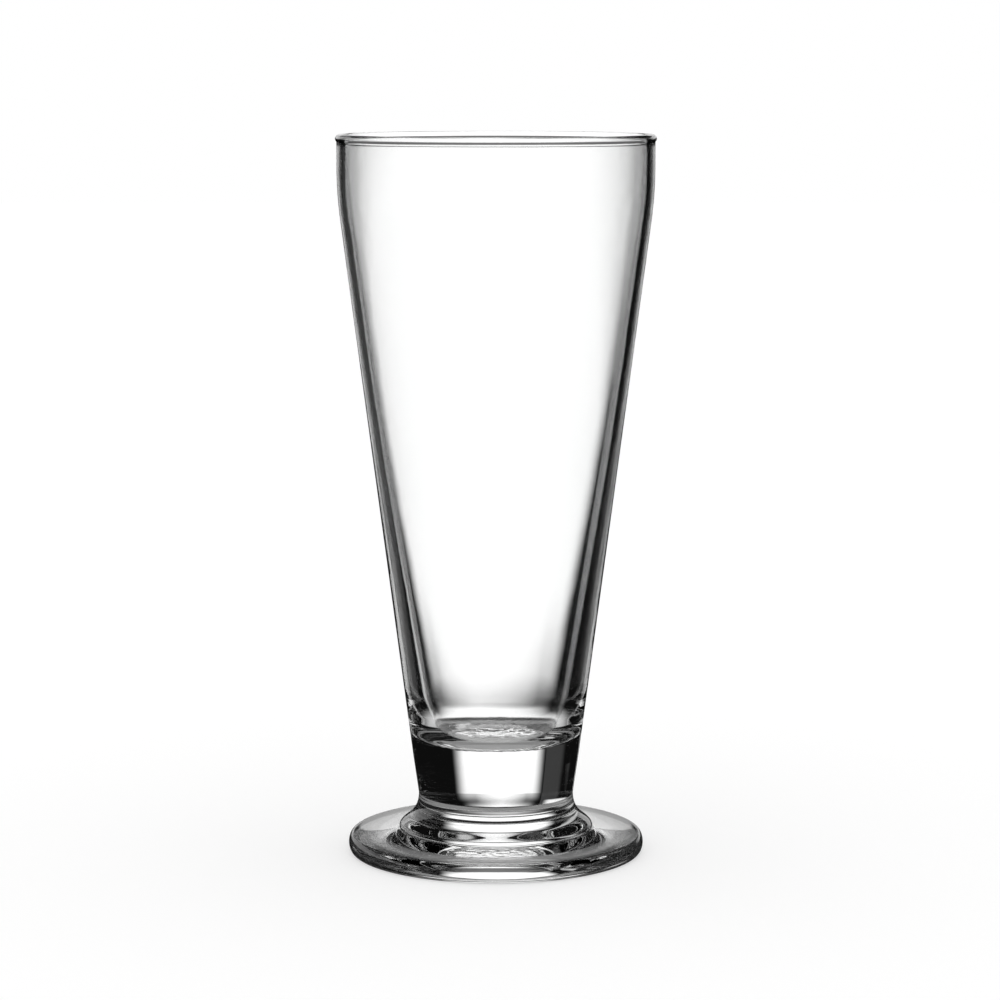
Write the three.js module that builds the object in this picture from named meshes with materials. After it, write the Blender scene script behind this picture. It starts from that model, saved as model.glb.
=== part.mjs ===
// Footed beer glass in clear soda-lime glass.
// Millimetres, +Z up, origin at the centre of the resting face.
// Four gathers of glass stand one on the other, welded at flat faces: foot, collar, stem and bowl.

import * as THREE from 'three';

// Foot
const footRadius = 38.4;
const footEdgeHeight = 4.8;
const footEdgeBulge = 1.3;
const footHeight = 6.2;
const restRingWidth = 4.5;
const dishDepth = 1.4;

// Collar
const collarRadius = 25.3;
const collarHeight = 9.2;
const collarEdgePull = 2.6;
const collarNeckPull = 6.8;

// Stem
const waistRadius = 20.1;
const stemTopRadius = 21.5;
const stemHeight = 9.6;

// Bowl, outside
const bowlHeight = 161.0;
const mouthRadius = 40.6;
const mouthBand = 6.1;
const bendLength = 14.0;

// Lip
const lipHeight = 2.2;
const lipProudOutside = 0.35;
const lipProudInside = 0.05;

// Bowl, inside: the wall thickens from the mouth to the shoulder and from there to the hip
const mouthWall = 2.1;
const shoulderHeight = 80.0;
const shoulderWall = 2.4;
const shoulderBend = 26.0;
const hipHeight = 15.0;
const hipWall = 4.65;
const floorThickness = 4.2;
const floorRadius = 15.5;

// Bends at the foot of the cavity, as shares of the heel, the short slope from the hip to the floor
const hipBendShare = 0.3;
const cornerBendShare = 0.55;

// Fineness of the turned surfaces
const turnSteps = 64;
const curveSteps = 8;

// Clear glass
const glassColour = 0xf2f5f4;
const glassRoughness = 0.04;
const glassOpacity = 0.35;

function clearGlass() {
  return new THREE.MeshStandardMaterial({
    color: glassColour,
    roughness: glassRoughness,
    metalness: 0,
    transparent: true,
    opacity: glassOpacity,
  });
}

// A solid turned from a profile of radius and height that starts and ends on the axis.
function turned(name, profile, base) {
  const geometry = new THREE.LatheGeometry(profile.getPoints(curveSteps), turnSteps);
  geometry.rotateX(Math.PI / 2);
  const mesh = new THREE.Mesh(geometry, clearGlass());
  mesh.name = name;
  mesh.position.z = base;
  return mesh;
}

// Runs a path straight towards a corner and bends it there towards the next point.
function softCorner(path, corner, next, bend) {
  const entry = path.currentPoint.clone().sub(corner).setLength(bend).add(corner);
  const exit = next.clone().sub(corner).setLength(bend).add(corner);
  path.lineTo(entry.x, entry.y);
  path.quadraticCurveTo(corner.x, corner.y, exit.x, exit.y);
}

// Foot: dished underside, flat resting ring, round edge, top climbing to the collar's seat.
function footProfile() {
  const restOuter = footRadius - footEdgeBulge;
  const restInner = restOuter - restRingWidth;
  const halfEdge = footEdgeHeight / 2;
  const topMiddle = (restOuter + collarRadius) / 2;
  const path = new THREE.Path();
  path.moveTo(0, dishDepth);
  path.quadraticCurveTo(restInner / 2, dishDepth, restInner, 0);
  path.lineTo(restOuter, 0);
  path.absellipse(restOuter, halfEdge, footEdgeBulge, halfEdge, -Math.PI / 2, Math.PI / 2, false);
  path.quadraticCurveTo(topMiddle, footEdgeHeight, collarRadius, footHeight);
  path.lineTo(0, footHeight);
  return path;
}

// Collar: flat on the foot, upright at its edge, then drawn in to the waist in one S curve.
function collarProfile() {
  const path = new THREE.Path();
  path.moveTo(0, 0);
  path.lineTo(collarRadius, 0);
  path.bezierCurveTo(
    collarRadius, collarEdgePull,
    waistRadius, collarHeight - collarNeckPull,
    waistRadius, collarHeight,
  );
  path.lineTo(0, collarHeight);
  return path;
}

// Stem: a short solid plug that widens from the waist to the bowl.
function stemProfile() {
  const path = new THREE.Path();
  path.moveTo(0, 0);
  path.lineTo(waistRadius, 0);
  path.lineTo(stemTopRadius, stemHeight);
  path.lineTo(0, stemHeight);
  return path;
}

// Bowl: straight cone, soft bend to an upright mouth, rounded lip, then the cavity down to its floor.
function bowlProfile() {
  const lipBase = bowlHeight - lipHeight;
  const bendTop = lipBase - mouthBand;
  const coneTop = bendTop - bendLength;
  const bendMiddle = bendTop - bendLength / 2;
  const coneSlope = (mouthRadius - stemTopRadius) / bendMiddle;
  const coneRadius = (height) => stemTopRadius + coneSlope * height;

  const innerMouth = mouthRadius - mouthWall;
  const lipHalf = (lipProudOutside + mouthWall + lipProudInside) / 2;
  const lipCentre = mouthRadius + lipProudOutside - lipHalf;
  const lipMiddle = bowlHeight - lipHeight / 2;
  const outerTurn = Math.acos((mouthRadius - lipCentre) / lipHalf);
  const innerTurn = Math.acos((lipCentre - innerMouth) / lipHalf);

  const mouthCorner = new THREE.Vector2(innerMouth, bendMiddle);
  const shoulder = new THREE.Vector2(coneRadius(shoulderHeight) - shoulderWall, shoulderHeight);
  const hip = new THREE.Vector2(coneRadius(hipHeight) - hipWall, hipHeight);
  const floorCorner = new THREE.Vector2(floorRadius, floorThickness);
  const floorCentre = new THREE.Vector2(0, floorThickness);
  const heel = hip.distanceTo(floorCorner);

  const path = new THREE.Path();
  path.moveTo(0, 0);
  path.lineTo(stemTopRadius, 0);
  path.lineTo(coneRadius(coneTop), coneTop);
  path.quadraticCurveTo(mouthRadius, bendMiddle, mouthRadius, bendTop);
  path.absellipse(lipCentre, lipMiddle, lipHalf, lipHeight / 2, -outerTurn, Math.PI + innerTurn, false);
  softCorner(path, mouthCorner, shoulder, bendLength / 2);
  softCorner(path, shoulder, hip, shoulderBend);
  softCorner(path, hip, floorCorner, hipBendShare * heel);
  softCorner(path, floorCorner, floorCentre, cornerBendShare * heel);
  path.lineTo(floorCentre.x, floorCentre.y);
  return path;
}

const collarBase = footHeight;
const stemBase = collarBase + collarHeight;
const bowlBase = stemBase + stemHeight;

const glass = new THREE.Group();
glass.add(turned('foot', footProfile(), 0));
glass.add(turned('collar', collarProfile(), collarBase));
glass.add(turned('stem', stemProfile(), stemBase));
glass.add(turned('bowl', bowlProfile(), bowlBase));

export default glass;
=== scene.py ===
# Footed beer glass in clear glass, seen as in a catalogue photograph.
# Each gather of glass is turned from its own profile; sizes are in millimetres, the scene in metres.

import math

import bpy
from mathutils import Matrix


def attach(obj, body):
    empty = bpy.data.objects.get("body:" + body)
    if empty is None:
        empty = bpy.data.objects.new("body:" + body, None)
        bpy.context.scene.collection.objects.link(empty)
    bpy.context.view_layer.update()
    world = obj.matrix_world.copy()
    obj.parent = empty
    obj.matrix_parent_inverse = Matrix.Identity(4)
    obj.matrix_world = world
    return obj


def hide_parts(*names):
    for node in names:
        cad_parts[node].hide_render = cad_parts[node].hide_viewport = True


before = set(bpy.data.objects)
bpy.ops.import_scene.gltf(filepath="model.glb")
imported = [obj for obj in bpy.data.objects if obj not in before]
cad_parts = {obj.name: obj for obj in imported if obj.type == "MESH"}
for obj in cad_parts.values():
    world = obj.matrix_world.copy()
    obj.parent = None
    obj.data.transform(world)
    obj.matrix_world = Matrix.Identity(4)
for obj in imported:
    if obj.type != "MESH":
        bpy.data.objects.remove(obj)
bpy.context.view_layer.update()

MM = 0.001

# Foot
FOOT_RADIUS = 38.4
FOOT_EDGE_HEIGHT = 4.8
FOOT_EDGE_BULGE = 1.3
FOOT_HEIGHT = 6.2
REST_RING_WIDTH = 4.5
DISH_DEPTH = 1.4

# Collar
COLLAR_RADIUS = 25.3
COLLAR_HEIGHT = 9.2
COLLAR_EDGE_PULL = 2.6
COLLAR_NECK_PULL = 6.8

# Stem
WAIST_RADIUS = 20.1
STEM_TOP_RADIUS = 21.5
STEM_HEIGHT = 9.6

# Bowl, outside
BOWL_HEIGHT = 161.0
MOUTH_RADIUS = 40.6
MOUTH_BAND = 6.1
BEND_LENGTH = 14.0

# Lip
LIP_HEIGHT = 2.2
LIP_PROUD_OUTSIDE = 0.35
LIP_PROUD_INSIDE = 0.05

# Bowl, inside: the wall thickens from the mouth to the shoulder and from there to the hip
MOUTH_WALL = 2.1
SHOULDER_HEIGHT = 80.0
SHOULDER_WALL = 2.4
SHOULDER_BEND = 26.0
HIP_HEIGHT = 15.0
HIP_WALL = 4.65
FLOOR_THICKNESS = 4.2
FLOOR_RADIUS = 15.5

# Bends at the foot of the cavity, as shares of the heel, the short slope from the hip to the floor
HIP_BEND_SHARE = 0.3
CORNER_BEND_SHARE = 0.55

# Where the pieces are welded
COLLAR_BASE = FOOT_HEIGHT
STEM_BASE = COLLAR_BASE + COLLAR_HEIGHT
BOWL_BASE = STEM_BASE + STEM_HEIGHT
NO_WELD = -1.0

# Fineness of the turned surfaces, in steps
TURN_STEPS = 256
WELD_FACE_STEPS = 4
DISH_STEPS = 36
REST_RING_STEPS = 5
FOOT_EDGE_STEPS = 40
FOOT_TOP_STEPS = 24
COLLAR_STEPS = 40
STEM_STEPS = 20
CONE_STEPS = 60
MOUTH_BAND_STEPS = 4
LIP_STEPS = 48
WALL_STEPS = 24
BEND_STEPS = 16
CAVITY_FLOOR_STEPS = 16

# Half a step, which keeps the count of grid rows clear of rounding
HALF_STEP = 0.5

# Limits: points that are one, edges that stay smooth, faces that are level and lie in a weld
SAME_POINT = 1e-6
MERGE_GAP = 0.002
CREASE_ANGLE = 40.0
LEVEL_FACE = 0.999
WELD_GAP = 0.01

# Slight unevenness of pressed and blown glass, and waves on the floor of the cavity
RIPPLE = 0.02
RIPPLE_WAVE = 24.0
RIPPLE_DETAIL = 1.0
RIPPLE_SEED = 3.0
CAVITY_RIPPLE = 0.4
CAVITY_RIPPLE_WAVE = 8.0
CAVITY_RIPPLE_DETAIL = 0.0
CAVITY_RIPPLE_DEPTH = 1.2
CAVITY_RIPPLE_FADES = 0.7
NOISE_MIDDLE = 0.5

# Glass; clouds in its finish have a size, a detail, and the noise at which they begin and are full
GLASS_IOR = 1.52
GLASS_TINT = (0.988, 0.992, 0.99)
TINT_CLOUD = (30.0, 2.0, 0.3, 0.7)
POLISH = 0.0
POLISH_WORN = 0.012
WEAR_CLOUD = (9.0, 3.0, 0.45, 0.75)
SCUFF_FAINT = 0.1
SCUFF_STRONG = 0.17
SCUFF_CLOUD = (2.4, 1.0, 0.35, 0.65)
SCUFF_HEIGHT = 0.12
SCUFF_LOST = 0.3
WHITE = (1.0, 1.0, 1.0)

# Lit cards, upright behind the glass as seen from the front and from the side:
# name, facing in degrees, and whether it is hidden from light that was turned back inside the glass
CARDS = [("front_card", 0.0, False), ("side_card", 90.0, True)]
CARD_DISTANCE = 250.0
CARD_GLOW = 1.23

# Upright edges of a card, half their softness, and how they soften above a height
CARD_LEFT = -92.0
CARD_RIGHT = 72.0
CARD_LEAN = 0.08
CARD_EDGE = 18.0
LEFT_SOFTENS = 0.7
LEFT_SOFTENS_FROM = 120.0
RIGHT_SOFTENS = 0.4
RIGHT_SOFTENS_FROM = 80.0
SOFTEST_EDGE = 90.0

# Hem of a card, which rises to both sides of its middle
CARD_MIDDLE = -12.0
HEM_TOP = -12.0
HEM_LOW = -94.0
HEM_SLOPE = 0.3
HEM_CURVE = 0.006
HEM_RISE = 32.0

# White table below the hem
TABLE_TOP = -38.0
TABLE_LOW = -89.0
TABLE_WHITE = 10.0
TABLE_DARK = 94.0

# Dim seam of a card above the lip
SEAM_LOW = 194.0
SEAM_HIGH = 330.0
SEAM_EDGE = 14.0
SEAM_GLOW = 0.16

# Outline of a card
CARD_LOWEST = -420.0
CARD_HIGHEST = 560.0
CARD_WIDENS_FROM = 40.0
CARD_WIDE_FROM = 200.0
CARD_WIDE = 200.0

# Dark room that light bent by the glass sees, with pale ground below: rises in degrees
# in the room, heights in millimetres on the cards
ROOM_GLOW = 0.004
GROUND_GLOW = 0.8
GROUND_FULL = -42.0
GROUND_LOST = -30.0
CARD_GROUND_FULL = -170.0
CARD_GROUND_LOST = -100.0

# Panels of the room, angles in degrees: facing, half width of its white, half width where it ends,
# lowest and highest rise, softness of its top and bottom, glow
PANELS = [
    (-31.0, 8.0, 15.0, -24.0, 0.0, 3.0, 0.05),
    (-45.0, 2.0, 12.0, 4.0, 90.0, 4.0, 0.6),
    (135.0, 4.0, 20.0, 4.0, 90.0, 4.0, 0.6),
]

# Panels hidden from light that was turned back inside the glass
CLEAR_PANELS = [
    (-45.0, 10.0, 18.0, -42.0, -16.0, 3.0, 1.1),
    (135.0, 6.0, 15.0, -40.0, -7.0, 3.0, 1.15),
]

# Panels that the outside of the glass mirrors
MIRRORED_GLOW = 0.005
MIRRORED_PANELS = [
    (0.0, 25.0, 40.0, 1.0, 12.5, 0.5, 0.95),
    (-90.0, 25.0, 40.0, 1.0, 12.4, 1.2, 0.95),
    (-45.0, 20.0, 35.0, 2.0, 24.0, 1.2, 0.9),
    (135.0, 20.0, 35.0, 2.0, 14.4, 1.2, 0.9),
]

# Studio floor, and what light bent by the glass sees of it: painted light under the stem, painted
# shade under the foot and a painted shadow at the rim
STUDIO_FLOOR_HALF = 4000.0
STUDIO_FLOOR_LEVEL = -0.05
STUDIO_FLOOR_GREY = (0.6, 0.6, 0.6)
STUDIO_FLOOR_ROUGHNESS = 0.9
STUDIO_FLOOR_GLOW = 0.42
# Painted light: under the stem the floor glows for light bent by the glass, full to one reach and gone
# at the next
PAINTED_LIGHT_UNDER_STEM = 0.35
PAINTED_LIGHT_UNDER_STEM_FULL = 16.0
PAINTED_LIGHT_UNDER_STEM_LOST = 20.0
# Painted shade: a grey glow under the foot, going over into a painted shadow at the rim
PAINTED_SHADE_UNDER_FOOT = 0.25
PAINTED_SHADE_UNDER_FOOT_FULL = 30.0
PAINTED_SHADE_UNDER_FOOT_LOST = 37.5
PAINTED_SHADOW_AT_RIM = 0.02
STUDIO_FLOOR_SEEN = 42.0
STUDIO_FLOOR_LOST = 50.0

# Camera
CAMERA_DISTANCE = 847.7
CAMERA_HEIGHT = 204.1
CAMERA_PITCH = 7.53
CAMERA_LENS = 119.2
CAMERA_SENSOR = 36.0
CAMERA_SHIFT = 0.0041
CAMERA_NEAREST = 10.0
CAMERA_FARTHEST = 100000.0

# How often light may be bent or mirrored
BENDS_OF_LIGHT = 32
MIRRORINGS_OF_LIGHT = 16


# Profile strips, as lists of radius and height

def between(start, end, share):
    return (start[0] + (end[0] - start[0]) * share, start[1] + (end[1] - start[1]) * share)


def towards(start, end, length):
    return between(start, end, length / math.dist(start, end))


def straight(start, end, steps):
    return [between(start, end, k / steps) for k in range(steps + 1)]


def bent(start, pull, end, steps):
    strip = []
    for k in range(steps + 1):
        t = k / steps
        a, b, c = (1 - t) ** 2, 2 * t * (1 - t), t * t
        strip.append((
            a * start[0] + b * pull[0] + c * end[0],
            a * start[1] + b * pull[1] + c * end[1],
        ))
    return strip


def swept(start, pull_a, pull_b, end, steps):
    strip = []
    for k in range(steps + 1):
        t = k / steps
        a, b, c, d = (1 - t) ** 3, 3 * t * (1 - t) ** 2, 3 * t * t * (1 - t), t ** 3
        strip.append((
            a * start[0] + b * pull_a[0] + c * pull_b[0] + d * end[0],
            a * start[1] + b * pull_a[1] + c * pull_b[1] + d * end[1],
        ))
    return strip


def rounded(centre, half_width, half_height, turn_from, turn_to, steps):
    strip = []
    for k in range(steps + 1):
        turn = turn_from + (turn_to - turn_from) * k / steps
        across = centre[0] + half_width * math.cos(turn)
        up = centre[1] + half_height * math.sin(turn)
        strip.append((across, up))
    return strip


def joined(*strips):
    profile = []
    for strip in strips:
        for point in strip:
            if not profile or math.dist(point, profile[-1]) > SAME_POINT:
                profile.append(point)
    return profile


def softened(corners, bends):
    strips = []
    start = corners[0]
    for before, corner, after, bend in zip(corners, corners[1:], corners[2:], bends):
        bend_start = towards(corner, before, bend)
        bend_end = towards(corner, after, bend)
        strips.append(straight(start, bend_start, WALL_STEPS))
        strips.append(bent(bend_start, corner, bend_end, BEND_STEPS))
        start = bend_end
    strips.append(straight(start, corners[-1], CAVITY_FLOOR_STEPS))
    return joined(*strips)


def raised(profile, base):
    return [(radius, height + base) for radius, height in profile]


# Profiles of the four gathers, each from the axis below to the axis above

def foot_profile():
    rest_outer = FOOT_RADIUS - FOOT_EDGE_BULGE
    rest_inner = rest_outer - REST_RING_WIDTH
    half_edge = FOOT_EDGE_HEIGHT / 2
    edge_middle = (rest_outer, half_edge)
    edge_top = (rest_outer, FOOT_EDGE_HEIGHT)
    top_pull = ((rest_outer + COLLAR_RADIUS) / 2, FOOT_EDGE_HEIGHT)
    seat = (COLLAR_RADIUS, FOOT_HEIGHT)
    quarter = math.pi / 2
    return joined(
        bent((0, DISH_DEPTH), (rest_inner / 2, DISH_DEPTH), (rest_inner, 0), DISH_STEPS),
        straight((rest_inner, 0), (rest_outer, 0), REST_RING_STEPS),
        rounded(edge_middle, FOOT_EDGE_BULGE, half_edge, -quarter, quarter, FOOT_EDGE_STEPS),
        bent(edge_top, top_pull, seat, FOOT_TOP_STEPS),
        straight(seat, (0, FOOT_HEIGHT), WELD_FACE_STEPS),
    )


def collar_profile():
    return joined(
        straight((0, 0), (COLLAR_RADIUS, 0), WELD_FACE_STEPS),
        swept(
            (COLLAR_RADIUS, 0),
            (COLLAR_RADIUS, COLLAR_EDGE_PULL),
            (WAIST_RADIUS, COLLAR_HEIGHT - COLLAR_NECK_PULL),
            (WAIST_RADIUS, COLLAR_HEIGHT),
            COLLAR_STEPS,
        ),
        straight((WAIST_RADIUS, COLLAR_HEIGHT), (0, COLLAR_HEIGHT), WELD_FACE_STEPS),
    )


def stem_profile():
    return joined(
        straight((0, 0), (WAIST_RADIUS, 0), WELD_FACE_STEPS),
        straight((WAIST_RADIUS, 0), (STEM_TOP_RADIUS, STEM_HEIGHT), STEM_STEPS),
        straight((STEM_TOP_RADIUS, STEM_HEIGHT), (0, STEM_HEIGHT), WELD_FACE_STEPS),
    )


def bowl_profile():
    bend_top = BOWL_HEIGHT - LIP_HEIGHT - MOUTH_BAND
    bend_middle = bend_top - BEND_LENGTH / 2
    cone_top = bend_top - BEND_LENGTH
    cone_slope = (MOUTH_RADIUS - STEM_TOP_RADIUS) / bend_middle
    cone_end = (STEM_TOP_RADIUS + cone_slope * cone_top, cone_top)
    band_start = (MOUTH_RADIUS, bend_top)

    lip_half = (LIP_PROUD_OUTSIDE + MOUTH_WALL + LIP_PROUD_INSIDE) / 2
    lip_centre = (MOUTH_RADIUS + LIP_PROUD_OUTSIDE - lip_half, BOWL_HEIGHT - LIP_HEIGHT / 2)
    inner_mouth = MOUTH_RADIUS - MOUTH_WALL
    outer_turn = math.acos((MOUTH_RADIUS - lip_centre[0]) / lip_half)
    inner_turn = math.acos((lip_centre[0] - inner_mouth) / lip_half)
    lip = rounded(lip_centre, lip_half, LIP_HEIGHT / 2, -outer_turn, math.pi + inner_turn, LIP_STEPS)

    inner_band_end = (inner_mouth, bend_top)
    mouth_corner = (inner_mouth, bend_middle)
    shoulder = (STEM_TOP_RADIUS + cone_slope * SHOULDER_HEIGHT - SHOULDER_WALL, SHOULDER_HEIGHT)
    hip = (STEM_TOP_RADIUS + cone_slope * HIP_HEIGHT - HIP_WALL, HIP_HEIGHT)
    floor_corner = (FLOOR_RADIUS, FLOOR_THICKNESS)
    floor_centre = (0, FLOOR_THICKNESS)
    heel = math.dist(hip, floor_corner)
    inside = softened(
        [inner_band_end, mouth_corner, shoulder, hip, floor_corner, floor_centre],
        [BEND_LENGTH / 2, SHOULDER_BEND, HIP_BEND_SHARE * heel, CORNER_BEND_SHARE * heel],
    )
    return joined(
        straight((0, 0), (STEM_TOP_RADIUS, 0), WELD_FACE_STEPS),
        straight((STEM_TOP_RADIUS, 0), cone_end, CONE_STEPS),
        bent(cone_end, (MOUTH_RADIUS, bend_middle), band_start, BEND_STEPS),
        straight(band_start, lip[0], MOUTH_BAND_STEPS),
        lip,
        straight(lip[-1], inner_band_end, MOUTH_BAND_STEPS),
        inside,
    )


# Helpers for node trees, materials and objects

def add_node(tree, kind, **values):
    node = tree.nodes.new(kind)
    for name, value in values.items():
        setattr(node, name, value)
    return node


def feed(tree, socket, value):
    if isinstance(value, (int, float)):
        socket.default_value = value
    else:
        tree.links.new(value, socket)


def math_node(tree, operation, *values):
    node = add_node(tree, "ShaderNodeMath", operation=operation)
    for socket, value in zip(node.inputs, values):
        feed(tree, socket, value)
    return node.outputs[0]


def vector_node(tree, operation, *vectors):
    node = add_node(tree, "ShaderNodeVectorMath", operation=operation)
    for socket, vector in zip(node.inputs, vectors):
        tree.links.new(vector, socket)
    return node


def scaled(tree, vector, scale):
    node = vector_node(tree, "SCALE", vector)
    tree.links.new(scale, node.inputs["Scale"])
    return node.outputs[0]


def split(tree, vector):
    node = add_node(tree, "ShaderNodeSeparateXYZ")
    tree.links.new(vector, node.inputs[0])
    return node.outputs


def ramp(tree, value, begin, finish, at_begin, at_finish):
    node = add_node(tree, "ShaderNodeMapRange", interpolation_type="SMOOTHSTEP")
    tree.links.new(value, node.inputs["Value"])
    node.inputs["From Min"].default_value = begin
    node.inputs["From Max"].default_value = finish
    node.inputs["To Min"].default_value = at_begin
    node.inputs["To Max"].default_value = at_finish
    return node.outputs[0]


def blended(tree, share, first, second):
    mix = add_node(tree, "ShaderNodeMix", data_type="FLOAT")
    feed(tree, mix.inputs["Factor"], share)
    feed(tree, mix.inputs[2], first)
    feed(tree, mix.inputs[3], second)
    return mix.outputs[0]


def own_place(tree):
    return add_node(tree, "ShaderNodeTexCoord").outputs["Object"]


def turned_back(tree):
    depth = add_node(tree, "ShaderNodeLightPath").outputs["Glossy Depth"]
    return math_node(tree, "MINIMUM", depth, 1.0)


def new_material(name):
    material = bpy.data.materials.new(name)
    material.use_nodes = True
    tree = material.node_tree
    return material, tree, tree.nodes["Principled BSDF"]


def set_surface(tree, shader):
    tree.links.new(shader.outputs[0], tree.nodes["Material Output"].inputs["Surface"])


def add_object(name, data):
    thing = bpy.data.objects.new(name, data)
    bpy.context.scene.collection.objects.link(thing)
    return thing


# Turning tree: a profile drawn as a chain of points is turned about Z into a closed body of glass

TURNING_INPUTS = [
    ("Profile", "NodeSocketGeometry"),
    ("Turn steps", "NodeSocketInt"),
    ("Ripple", "NodeSocketFloat"),
    ("Ripple wave", "NodeSocketFloat"),
    ("Ripple seed", "NodeSocketFloat"),
    ("Floor height", "NodeSocketFloat"),
    ("Floor radius", "NodeSocketFloat"),
    ("Floor depth", "NodeSocketFloat"),
    ("Floor ripple", "NodeSocketFloat"),
    ("Floor ripple wave", "NodeSocketFloat"),
    ("Weld below", "NodeSocketFloat"),
    ("Weld above", "NodeSocketFloat"),
    ("Glass", "NodeSocketMaterial"),
    ("Weld", "NodeSocketMaterial"),
]


# One row of the grid for each profile point, one column for each step of the turn
def turned_grid(tree, given):
    link = tree.links.new
    count = add_node(tree, "GeometryNodeAttributeDomainSize", component="MESH")
    link(given["Profile"], count.inputs["Geometry"])
    columns = math_node(tree, "ADD", given["Turn steps"], 1.0)
    grid = add_node(tree, "GeometryNodeMeshGrid")
    link(count.outputs["Point Count"], grid.inputs["Vertices X"])
    link(columns, grid.inputs["Vertices Y"])
    index = add_node(tree, "GeometryNodeInputIndex").outputs[0]
    middle = math_node(tree, "ADD", index, HALF_STEP)
    row = math_node(tree, "FLOOR", math_node(tree, "DIVIDE", middle, columns))
    column = math_node(tree, "SUBTRACT", index, math_node(tree, "MULTIPLY", row, columns))

    # Each point goes to its place on its circle
    sample = add_node(tree, "GeometryNodeSampleIndex", data_type="FLOAT_VECTOR", domain="POINT")
    link(given["Profile"], sample.inputs["Geometry"])
    link(add_node(tree, "GeometryNodeInputPosition").outputs[0], sample.inputs["Value"])
    link(row, sample.inputs["Index"])
    share = math_node(tree, "DIVIDE", column, given["Turn steps"])
    turn = add_node(tree, "ShaderNodeVectorRotate", rotation_type="Z_AXIS")
    link(sample.outputs["Value"], turn.inputs["Vector"])
    link(math_node(tree, "MULTIPLY", share, -2 * math.pi), turn.inputs["Angle"])
    return grid.outputs["Mesh"], turn.outputs[0]


def ripple_swing(tree, place, wave, seed, detail):
    noise = add_node(tree, "ShaderNodeTexNoise", noise_dimensions="4D")
    noise.inputs["Detail"].default_value = detail
    stretched = scaled(tree, place, math_node(tree, "DIVIDE", 1.0, wave))
    tree.links.new(stretched, noise.inputs["Vector"])
    tree.links.new(seed, noise.inputs["W"])
    return math_node(tree, "SUBTRACT", noise.outputs[0], NOISE_MIDDLE)


def fading(tree, value, limit):
    share = math_node(tree, "DIVIDE", value, limit)
    return ramp(tree, share, CAVITY_RIPPLE_FADES, 1.0, 1.0, 0.0)


# Slight unevenness across the axis, read from the place itself so that welded pieces agree,
# and stronger, upright unevenness on the floor of the cavity, which is left to cool by itself
def unevenness(tree, given, place):
    seed = given["Ripple seed"]
    swing = ripple_swing(tree, place, given["Ripple wave"], seed, RIPPLE_DETAIL)
    flat = vector_node(tree, "MULTIPLY", place)
    flat.inputs[1].default_value = (1.0, 1.0, 0.0)
    outward = vector_node(tree, "NORMALIZE", flat.outputs[0]).outputs[0]
    shift = scaled(tree, outward, math_node(tree, "MULTIPLY", swing, given["Ripple"]))

    reach = vector_node(tree, "LENGTH", flat.outputs[0]).outputs["Value"]
    rise = math_node(tree, "SUBTRACT", split(tree, place)["Z"], given["Floor height"])
    near = fading(tree, math_node(tree, "ABSOLUTE", rise), given["Floor depth"])
    inside = fading(tree, reach, given["Floor radius"])
    sag = ripple_swing(tree, place, given["Floor ripple wave"], seed, CAVITY_RIPPLE_DETAIL)
    sag = math_node(tree, "MULTIPLY", math_node(tree, "MULTIPLY", near, inside), sag)
    lift = add_node(tree, "ShaderNodeCombineXYZ")
    tree.links.new(math_node(tree, "MULTIPLY", sag, given["Floor ripple"]), lift.inputs["Z"])
    return vector_node(tree, "ADD", shift, lift.outputs[0]).outputs[0]


# The seam and the poles are closed, and the glass is smooth up to the sharp weld edges
def closed_and_smooth(tree, mesh):
    link = tree.links.new
    close = add_node(tree, "GeometryNodeMergeByDistance")
    link(mesh, close.inputs["Geometry"])
    close.inputs["Distance"].default_value = MERGE_GAP * MM
    smooth = add_node(tree, "GeometryNodeSetShadeSmooth", domain="FACE")
    link(close.outputs[0], smooth.inputs["Geometry"])
    smooth.inputs["Shade Smooth"].default_value = True
    crease = add_node(tree, "GeometryNodeInputMeshEdgeAngle").outputs["Unsigned Angle"]
    sharp = math_node(tree, "GREATER_THAN", crease, math.radians(CREASE_ANGLE))
    edges = add_node(tree, "GeometryNodeSetShadeSmooth", domain="EDGE")
    link(smooth.outputs[0], edges.inputs["Geometry"])
    link(sharp, edges.inputs["Selection"])
    edges.inputs["Shade Smooth"].default_value = False
    return edges.outputs[0]


# Glass all over, and the weld faces clear
def coated(tree, given, mesh):
    link = tree.links.new
    real = add_node(tree, "GeometryNodeRealizeInstances")
    link(mesh, real.inputs["Geometry"])
    coat = add_node(tree, "GeometryNodeSetMaterial")
    link(real.outputs[0], coat.inputs["Geometry"])
    link(given["Glass"], coat.inputs["Material"])
    height = split(tree, add_node(tree, "GeometryNodeInputPosition").outputs[0])["Z"]
    facing = split(tree, add_node(tree, "GeometryNodeInputNormal").outputs[0])["Z"]
    level = math_node(tree, "GREATER_THAN", math_node(tree, "ABSOLUTE", facing), LEVEL_FACE)
    below = math_node(tree, "COMPARE", height, given["Weld below"], WELD_GAP * MM)
    above = math_node(tree, "COMPARE", height, given["Weld above"], WELD_GAP * MM)
    weld = math_node(tree, "MULTIPLY", level, math_node(tree, "MAXIMUM", below, above))
    clear = add_node(tree, "GeometryNodeSetMaterial")
    link(coat.outputs[0], clear.inputs["Geometry"])
    link(weld, clear.inputs["Selection"])
    link(given["Weld"], clear.inputs["Material"])
    return clear.outputs[0]


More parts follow.
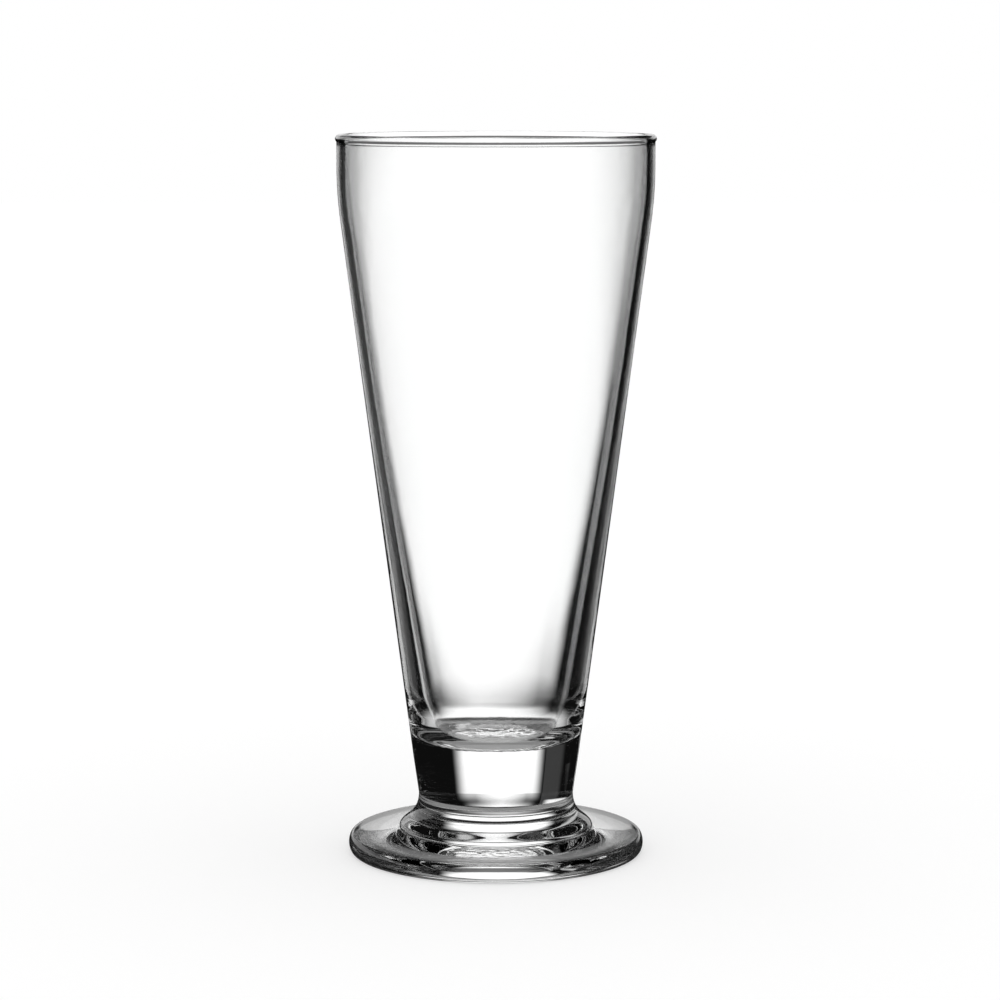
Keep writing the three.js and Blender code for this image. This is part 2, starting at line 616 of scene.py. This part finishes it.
def turning_tree():
    tree = bpy.data.node_groups.new("turned_glass", "GeometryNodeTree")
    for name, kind in TURNING_INPUTS:
        tree.interface.new_socket(name, in_out="INPUT", socket_type=kind)
    tree.interface.new_socket("Body", in_out="OUTPUT", socket_type="NodeSocketGeometry")
    given = add_node(tree, "NodeGroupInput").outputs
    result = add_node(tree, "NodeGroupOutput")

    mesh, place = turned_grid(tree, given)
    body = add_node(tree, "GeometryNodeSetPosition")
    tree.links.new(mesh, body.inputs["Geometry"])
    tree.links.new(place, body.inputs["Position"])
    tree.links.new(unevenness(tree, given, place), body.inputs["Offset"])
    glass = coated(tree, given, closed_and_smooth(tree, body.outputs[0]))
    tree.links.new(glass, result.inputs[0])
    return tree


def turned_piece(name, profile, tree, weld_below, weld_above, glass, weld):
    chain = bpy.data.meshes.new(name + "_chain")
    points = [(radius * MM, 0.0, height * MM) for radius, height in profile]
    chain.from_pydata(points, [(k, k + 1) for k in range(len(points) - 1)], [])
    draft = add_object(name + "_draft", chain)
    modifier = draft.modifiers.new("turning", "NODES")
    modifier.node_group = tree
    values = {
        "Turn steps": TURN_STEPS,
        "Ripple": RIPPLE * MM,
        "Ripple wave": RIPPLE_WAVE * MM,
        "Ripple seed": RIPPLE_SEED,
        "Floor height": (BOWL_BASE + FLOOR_THICKNESS) * MM,
        "Floor radius": FLOOR_RADIUS * MM,
        "Floor depth": CAVITY_RIPPLE_DEPTH * MM,
        "Floor ripple": CAVITY_RIPPLE * MM,
        "Floor ripple wave": CAVITY_RIPPLE_WAVE * MM,
        "Weld below": weld_below * MM,
        "Weld above": weld_above * MM,
        "Glass": glass,
        "Weld": weld,
    }
    for socket in tree.interface.items_tree:
        if socket.item_type == "SOCKET" and socket.name in values:
            modifier[socket.identifier] = values[socket.name]
    depsgraph = bpy.context.evaluated_depsgraph_get()
    mesh = bpy.data.meshes.new_from_object(draft.evaluated_get(depsgraph))
    mesh.name = name
    bpy.data.objects.remove(draft)
    bpy.data.meshes.remove(chain)
    return add_object(name, mesh)


# Clear glass: faint clouds of tint, polished, a little worn by washing, scuffed where the foot stands

def clouded(tree, place, cloud, at_begin, at_full):
    size, detail, begins, full = cloud
    noise = add_node(tree, "ShaderNodeTexNoise")
    noise.inputs["Scale"].default_value = 1.0 / (size * MM)
    noise.inputs["Detail"].default_value = detail
    tree.links.new(place, noise.inputs["Vector"])
    return ramp(tree, noise.outputs[0], begins, full, at_begin, at_full)


def clear_glass():
    material, tree, shader = new_material("clear_glass")
    shader.inputs["Transmission Weight"].default_value = 1.0
    shader.inputs["IOR"].default_value = GLASS_IOR
    place = own_place(tree)

    tint = add_node(tree, "ShaderNodeMix", data_type="RGBA")
    tree.links.new(clouded(tree, place, TINT_CLOUD, 0.0, 1.0), tint.inputs["Factor"])
    tint.inputs["A"].default_value = (*WHITE, 1.0)
    tint.inputs["B"].default_value = (*GLASS_TINT, 1.0)
    tree.links.new(tint.outputs["Result"], shader.inputs["Base Color"])

    worn = clouded(tree, place, WEAR_CLOUD, POLISH, POLISH_WORN)
    scuff = clouded(tree, place, SCUFF_CLOUD, SCUFF_FAINT, SCUFF_STRONG)
    height = split(tree, place)["Z"]
    standing = ramp(tree, height, SCUFF_HEIGHT * MM, SCUFF_LOST * MM, 1.0, 0.0)
    roughness = math_node(tree, "MULTIPLY_ADD", scuff, standing, worn)
    tree.links.new(roughness, shader.inputs["Roughness"])
    return material


# Weld face: where two gathers have melted into one, light passes as if there were no face

def weld_face():
    material, tree, shader = new_material("weld_face")
    tree.nodes.remove(shader)
    set_surface(tree, add_node(tree, "ShaderNodeBsdfTransparent"))
    return material


# Studio floor: pale and matt
# Light bent by the glass sees painted light and shade on it close to the foot, and the dark room
# beyond

def mixed_shader(tree, share, first, second):
    mix = add_node(tree, "ShaderNodeMixShader")
    tree.links.new(share, mix.inputs["Fac"])
    tree.links.new(first.outputs[0], mix.inputs[1])
    tree.links.new(second.outputs[0], mix.inputs[2])
    return mix


def floor_finish():
    material, tree, shader = new_material("pale_floor")
    shader.inputs["Base Color"].default_value = (*STUDIO_FLOOR_GREY, 1.0)
    shader.inputs["Roughness"].default_value = STUDIO_FLOOR_ROUGHNESS
    shader.inputs["Specular IOR Level"].default_value = 0.0
    shader.inputs["Emission Color"].default_value = (*WHITE, 1.0)
    shader.inputs["Emission Strength"].default_value = STUDIO_FLOOR_GLOW

    reach = vector_node(tree, "LENGTH", own_place(tree)).outputs["Value"]
    # Painted light under the stem and painted shade under the foot, darkest as a painted shadow at the
    # rim
    painted_stem_light = ramp(tree, reach, PAINTED_LIGHT_UNDER_STEM_FULL * MM, PAINTED_LIGHT_UNDER_STEM_LOST * MM, PAINTED_LIGHT_UNDER_STEM, 0.0)
    painted_foot_shade_and_rim_shadow = ramp(tree, reach, PAINTED_SHADE_UNDER_FOOT_FULL * MM, PAINTED_SHADE_UNDER_FOOT_LOST * MM, PAINTED_SHADE_UNDER_FOOT, PAINTED_SHADOW_AT_RIM)
    painted_light_and_shade = add_node(tree, "ShaderNodeEmission")
    tree.links.new(math_node(tree, "MAXIMUM", painted_stem_light, painted_foot_shade_and_rim_shadow), painted_light_and_shade.inputs["Strength"])

    far = ramp(tree, reach, STUDIO_FLOOR_SEEN * MM, STUDIO_FLOOR_LOST * MM, 0.0, 1.0)
    through = add_node(tree, "ShaderNodeBsdfTransparent")
    refracted = mixed_shader(tree, far, painted_light_and_shade, through)
    bent_light = add_node(tree, "ShaderNodeLightPath").outputs["Is Transmission Ray"]
    set_surface(tree, mixed_shader(tree, bent_light, shader, refracted))
    return material


def studio_floor():
    half = STUDIO_FLOOR_HALF * MM
    level = STUDIO_FLOOR_LEVEL * MM
    corners = [(-half, -half, level), (half, -half, level), (half, half, level), (-half, half, level)]
    mesh = bpy.data.meshes.new("floor")
    mesh.from_pydata(corners, [], [tuple(range(len(corners)))])
    mesh.materials.append(floor_finish())
    floor = add_object("floor", mesh)
    floor.visible_glossy = False


# Studio: white in front of the lens; glass sees a few pale panels in a dark room with pale ground

def degree_ramp(tree, value, begin, finish, at_begin, at_finish):
    return ramp(tree, value, math.radians(begin), math.radians(finish), at_begin, at_finish)


def panel_glow(tree, azimuth, rise, panel):
    facing, white, black, low, high, soft, glow = panel
    turned = math_node(tree, "SUBTRACT", azimuth, math.radians(facing))
    offset = math_node(tree, "ABSOLUTE", math_node(tree, "WRAP", turned, math.pi, -math.pi))
    across = degree_ramp(tree, offset, white, black, glow, 0.0)
    from_below = degree_ramp(tree, rise, low - soft, low, 0.0, 1.0)
    to_above = degree_ramp(tree, rise, high, high + soft, 1.0, 0.0)
    return math_node(tree, "MULTIPLY", across, math_node(tree, "MULTIPLY", from_below, to_above))


def room_glow(tree, azimuth, rise, panels, glow):
    for panel in panels:
        glow = math_node(tree, "MAXIMUM", panel_glow(tree, azimuth, rise, panel), glow)
    return glow


def studio_world():
    world = bpy.data.worlds.new("studio")
    bpy.context.scene.world = world
    world.use_nodes = True
    tree = world.node_tree
    background = tree.nodes["Background"]
    background.inputs["Color"].default_value = (*WHITE, 1.0)
    direction = split(tree, add_node(tree, "ShaderNodeTexCoord").outputs["Generated"])
    rise = math_node(tree, "ARCSINE", direction["Z"])
    azimuth = math_node(tree, "ARCTAN2", direction["X"], direction["Y"])
    path = add_node(tree, "ShaderNodeLightPath").outputs

    seen = room_glow(tree, azimuth, rise, PANELS, ROOM_GLOW)
    seen_clearly = room_glow(tree, azimuth, rise, CLEAR_PANELS, seen)
    seen = blended(tree, turned_back(tree), seen_clearly, seen)
    ground = degree_ramp(tree, rise, GROUND_FULL, GROUND_LOST, GROUND_GLOW, 0.0)
    seen = math_node(tree, "MAXIMUM", seen, ground)

    reflected = room_glow(tree, azimuth, rise, MIRRORED_PANELS, MIRRORED_GLOW)
    mirrored = blended(tree, path["Is Glossy Ray"], 1.0, reflected)
    strength = blended(tree, path["Is Transmission Ray"], mirrored, seen)
    tree.links.new(strength, background.inputs["Strength"])


# Lit cards: white between soft edges, dim at the hem, with a white table below it and a dim seam above

def soft_edge(tree, across, up, edge, softens, softens_from, at_left, at_right):
    over = math_node(tree, "MAXIMUM", math_node(tree, "SUBTRACT", up, softens_from * MM), 0.0)
    softness = math_node(tree, "MULTIPLY_ADD", over, softens, CARD_EDGE * MM)
    softness = math_node(tree, "MINIMUM", softness, SOFTEST_EDGE * MM)
    aside = math_node(tree, "DIVIDE", math_node(tree, "SUBTRACT", across, edge * MM), softness)
    return ramp(tree, aside, -1.0, 1.0, at_left, at_right)


def card_width(tree, across, up):
    leaning = math_node(tree, "MULTIPLY", math_node(tree, "MAXIMUM", up, 0.0), CARD_LEAN)
    upright = math_node(tree, "SUBTRACT", across, leaning)
    left = soft_edge(tree, across, up, CARD_LEFT, LEFT_SOFTENS, LEFT_SOFTENS_FROM, 0.0, 1.0)
    right = soft_edge(tree, upright, up, CARD_RIGHT, RIGHT_SOFTENS, RIGHT_SOFTENS_FROM, 1.0, 0.0)
    return math_node(tree, "MULTIPLY", left, right)


def card_height(tree, across, up):
    aside = math_node(tree, "ABSOLUTE", math_node(tree, "SUBTRACT", across, CARD_MIDDLE * MM))
    steepness = math_node(tree, "MULTIPLY_ADD", aside, HEM_CURVE / MM, HEM_SLOPE)
    hem = math_node(tree, "MINIMUM", math_node(tree, "MULTIPLY", aside, steepness), HEM_RISE * MM)
    above_hem = math_node(tree, "SUBTRACT", up, hem)
    card = ramp(tree, above_hem, HEM_LOW * MM, HEM_TOP * MM, 0.0, 1.0)

    table = ramp(tree, up, TABLE_LOW * MM, TABLE_TOP * MM, 1.0, 0.0)
    table_width = ramp(tree, aside, TABLE_WHITE * MM, TABLE_DARK * MM, 1.0, 0.0)
    height = math_node(tree, "ADD", card, math_node(tree, "MULTIPLY", table, table_width))

    below_seam = ramp(tree, up, SEAM_LOW * MM, (SEAM_LOW + SEAM_EDGE) * MM, 1.0, 0.0)
    above_seam = ramp(tree, up, (SEAM_HIGH - SEAM_EDGE) * MM, SEAM_HIGH * MM, 0.0, 1.0)
    seam = math_node(tree, "MAXIMUM", math_node(tree, "MAXIMUM", below_seam, above_seam), SEAM_GLOW)
    return math_node(tree, "MULTIPLY", height, seam)


def card_finish(name, hidden_from_turned_back):
    material, tree, shader = new_material(name)
    tree.nodes.remove(shader)
    place = split(tree, own_place(tree))
    across = place["X"]
    up = place["Z"]
    lit = math_node(tree, "MULTIPLY", card_width(tree, across, up), card_height(tree, across, up))
    if hidden_from_turned_back:
        lit = math_node(tree, "MULTIPLY", lit, math_node(tree, "SUBTRACT", 1.0, turned_back(tree)))
    lit = math_node(tree, "MULTIPLY_ADD", lit, CARD_GLOW, ROOM_GLOW)
    ground = ramp(tree, up, CARD_GROUND_FULL * MM, CARD_GROUND_LOST * MM, GROUND_GLOW, 0.0)
    glow = add_node(tree, "ShaderNodeEmission")
    tree.links.new(math_node(tree, "MAXIMUM", lit, ground), glow.inputs["Strength"])
    set_surface(tree, glow)
    return material


def lit_cards():
    left = CARD_LEFT - CARD_EDGE
    right = CARD_RIGHT + CARD_EDGE + (CARD_LEAN + RIGHT_SOFTENS) * CARD_WIDENS_FROM
    corners = [
        (left, CARD_LOWEST),
        (right, CARD_LOWEST),
        (right, CARD_WIDENS_FROM),
        (CARD_WIDE, CARD_WIDE_FROM),
        (CARD_WIDE, CARD_HIGHEST),
        (-CARD_WIDE, CARD_HIGHEST),
        (-CARD_WIDE, CARD_WIDE_FROM),
        (left, CARD_WIDENS_FROM),
    ]
    places = [(across * MM, CARD_DISTANCE * MM, up * MM) for across, up in corners]
    for name, facing, hidden_from_turned_back in CARDS:
        mesh = bpy.data.meshes.new(name)
        mesh.from_pydata(places, [], [tuple(range(len(places)))])
        mesh.materials.append(card_finish(name, hidden_from_turned_back))
        card = add_object(name, mesh)
        card.rotation_euler = (0.0, 0.0, math.radians(facing))
        card.visible_camera = False
        card.visible_diffuse = False
        card.visible_glossy = False
        card.visible_shadow = False


def studio_camera():
    lens = bpy.data.cameras.new("camera")
    lens.lens = CAMERA_LENS
    lens.sensor_width = CAMERA_SENSOR
    lens.shift_x = CAMERA_SHIFT
    lens.clip_start = CAMERA_NEAREST * MM
    lens.clip_end = CAMERA_FARTHEST * MM
    camera = add_object("camera", lens)
    camera.location = (0.0, -CAMERA_DISTANCE * MM, CAMERA_HEIGHT * MM)
    camera.rotation_euler = (math.radians(90 - CAMERA_PITCH), 0.0, 0.0)
    bpy.context.scene.camera = camera


def build_glass():
    tree = turning_tree()
    glass = clear_glass()
    weld = weld_face()
    gathers = [
        ("foot", foot_profile(), NO_WELD, COLLAR_BASE),
        ("collar", raised(collar_profile(), COLLAR_BASE), COLLAR_BASE, STEM_BASE),
        ("stem", raised(stem_profile(), STEM_BASE), STEM_BASE, BOWL_BASE),
        ("bowl", raised(bowl_profile(), BOWL_BASE), BOWL_BASE, NO_WELD),
    ]
    for node, profile, below, above in gathers:
        piece = turned_piece("glass_" + node, profile, tree, below, above, glass, weld)
        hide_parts(node)
        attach(piece, "root")


build_glass()
studio_world()
lit_cards()
studio_floor()
studio_camera()

scene = bpy.context.scene
scene.view_settings.view_transform = "Standard"
scene.cycles.max_bounces = BENDS_OF_LIGHT
scene.cycles.transmission_bounces = BENDS_OF_LIGHT
scene.cycles.glossy_bounces = MIRRORINGS_OF_LIGHT
scene.cycles.transparent_max_bounces = BENDS_OF_LIGHT
